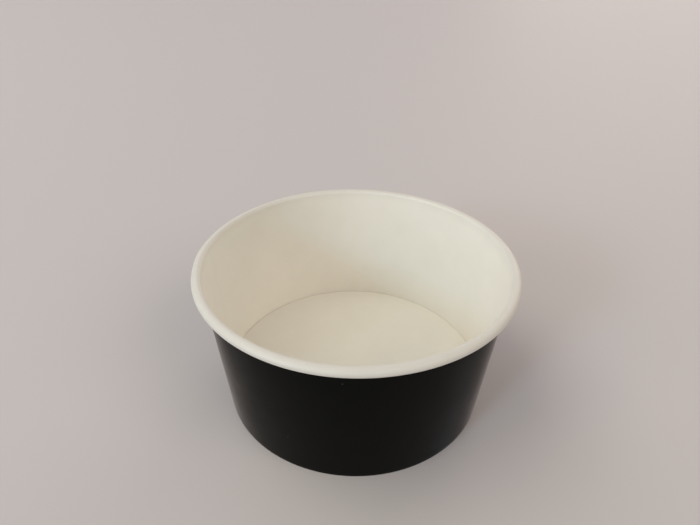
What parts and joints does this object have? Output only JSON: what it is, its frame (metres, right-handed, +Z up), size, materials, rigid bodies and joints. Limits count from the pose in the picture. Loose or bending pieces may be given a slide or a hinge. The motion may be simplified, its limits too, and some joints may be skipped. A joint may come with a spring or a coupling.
{
  "type": "paper bowl",
  "caption": "Round take-away bowl of coated paperboard with a gently tapered wall, a rolled rim that takes a lid, and a flat bottom set in above a folded hem.",
  "frame": {"origin": "centre of the base ring, on the plane that the bowl stands on", "axes": "+Z up along the bowl's axis; -Y towards the viewer of the picture and +X to the right; the side seam is near -X"},
  "size_m": [0.15, 0.15, 0.073],
  "materials": {
    "black_printed_board": "satin black print on the outer face of white coated board",
    "white_coated_board": "warm white board with a thin satin food coating"
  },
  "bodies": {
    "root": {"side_wall": "black_printed_board", "bottom_disc": "white_coated_board"}
  },
  "joints": []
}
